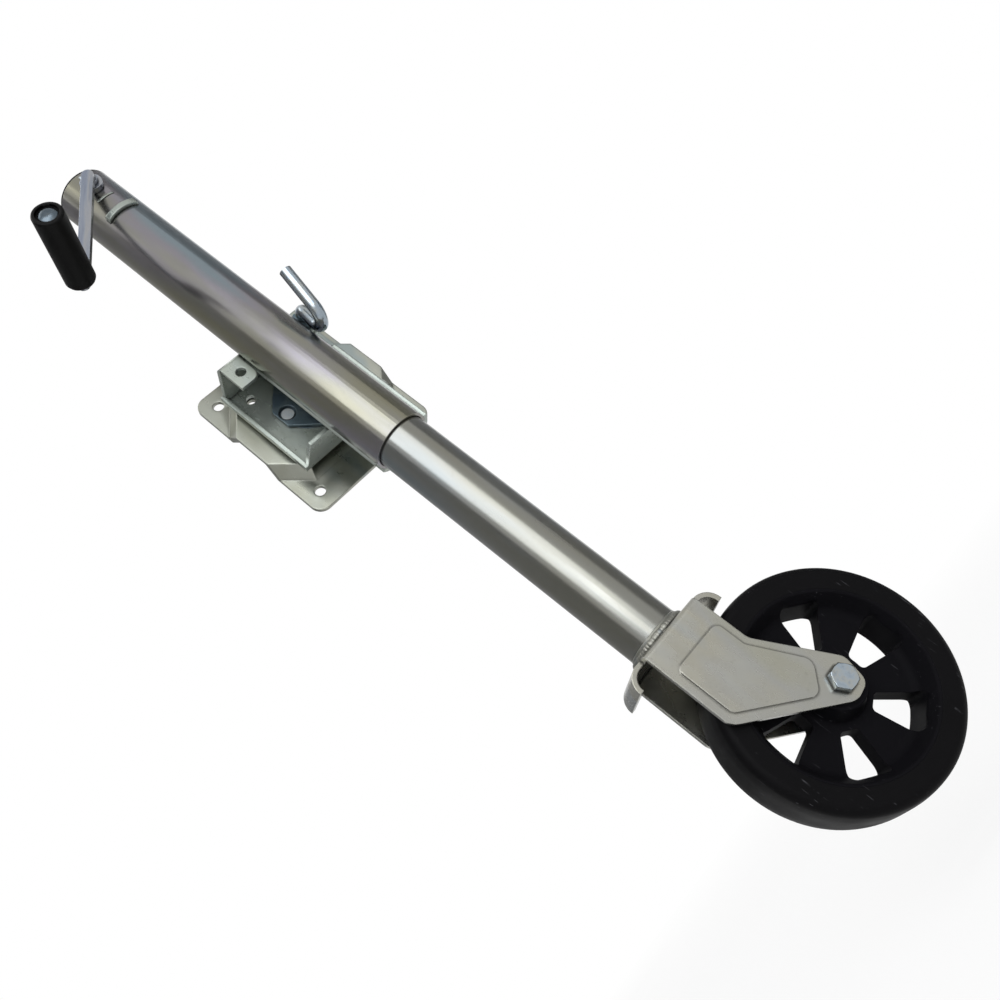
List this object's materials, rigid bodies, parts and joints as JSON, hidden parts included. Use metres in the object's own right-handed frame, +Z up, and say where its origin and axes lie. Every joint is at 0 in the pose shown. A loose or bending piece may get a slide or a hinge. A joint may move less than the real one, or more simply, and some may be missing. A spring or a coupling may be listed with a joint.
{
  "type": "trailer jack",
  "caption": "Swing-up side-wind trailer jack: bolt-on plate, swivel bracket with lock pin, screw-driven tube, side crank, offset fork and jockey wheel.",
  "frame": {"origin": "centre of the four bolt holes on the mounting face, on the swivel axis", "axes": "+Z up along the jack tubes, +Y into the trailer's drawbar along the bolts and the swivel axis, +X to the right facing the jack"},
  "size_m": [0.245, 0.2052, 0.921],
  "materials": {
    "zinc_tube": "bright zinc plate",
    "zinc_sheet": "satin zinc plate",
    "dark_zinc": "bluish zinc plate",
    "bolt_zinc": "bright zinc plate",
    "arm_steel": "satin zinc plate",
    "bare_steel": "oiled steel",
    "nut_bronze": "machined bronze",
    "black_plastic": "satin black moulding",
    "tyre_rubber": "satin black tyre"
  },
  "bodies": {
    "mount": {"mounting_plate": "zinc_sheet", "pivot_hub": "dark_zinc", "bearing_washer": "zinc_sheet", "keeper_plate": "dark_zinc", "pivot_screws": "bolt_zinc"},
    "tube": {"swivel_bracket": "zinc_sheet", "saddle": "zinc_sheet", "outer_tube": "zinc_tube", "gear_plate": "zinc_sheet", "thrust_plate": "zinc_sheet", "thrust_bearing": "bare_steel", "top_cap": "black_plastic", "cap_rivet": "bolt_zinc", "crank_bush_front": "arm_steel", "crank_bush_rear": "arm_steel", "lock_bush": "bolt_zinc", "lock_spring": "bare_steel"},
    "lock_pin": {"lock_pin": "bolt_zinc", "pin_collar": "bolt_zinc"},
    "crank": {"crank_shaft": "arm_steel", "crank_arm": "arm_steel", "grip_spindle": "bolt_zinc", "bevel_pinion": "bare_steel"},
    "grip": {"grip": "black_plastic"},
    "screw": {"lead_screw": "bare_steel", "crown_gear": "bare_steel"},
    "nut": {"lead_nut": "nut_bronze"},
    "leg": {"inner_tube": "zinc_tube", "fork_weld": "zinc_sheet", "fork": "zinc_sheet", "axle_bolt": "bolt_zinc", "axle_nut": "bolt_zinc", "axle_washer": "bolt_zinc", "axle_sleeve": "bare_steel"},
    "wheel": {"wheel_rim": "black_plastic", "tyre": "tyre_rubber"}
  },
  "joints": [
    {"name": "swivel", "type": "hinge", "parent": "mount", "child": "tube", "pos_m": [0, 0, 0], "axis": [0, 1, 0], "range_deg": [-90, 90]},
    {"name": "lock", "type": "slide", "parent": "tube", "child": "lock_pin", "axis": [0, 1, 0], "range_m": [0, 0.005]},
    {"name": "crank_turn", "type": "hinge", "parent": "tube", "child": "crank", "pos_m": [0, -0.079, 0.28], "axis": [0, 1, 0], "range_deg": [-1080, 17279.99]},
    {"name": "grip_spin", "type": "hinge", "parent": "crank", "child": "grip", "pos_m": [-0.085, -0.079, 0.176], "axis": [0, 1, 0], "continuous": true},
    {"name": "screw_turn", "type": "hinge", "parent": "tube", "child": "screw", "pos_m": [0, -0.079, 0], "axis": [0, 0, 1], "range_deg": [-17281, 1081]},
    {"name": "nut_travel", "type": "slide", "parent": "tube", "child": "nut", "axis": [0, 0, 1], "range_m": [-0.0151, 0.2401]},
    {"name": "leg_turn", "type": "hinge", "parent": "nut", "child": "leg", "pos_m": [0, -0.079, -0.4], "axis": [0, 0, 1], "continuous": true},
    {"name": "wheel_spin", "type": "hinge", "parent": "leg", "child": "wheel", "pos_m": [0.0505, -0.079, -0.519], "axis": [0, 1, 0], "continuous": true}
  ],
  "couplings": [
    {"joint": "screw_turn", "follows": "crank_turn", "ratio": -1},
    {"joint": "nut_travel", "follows": "crank_turn", "m_per_rad": 0.00079577}
  ]
}
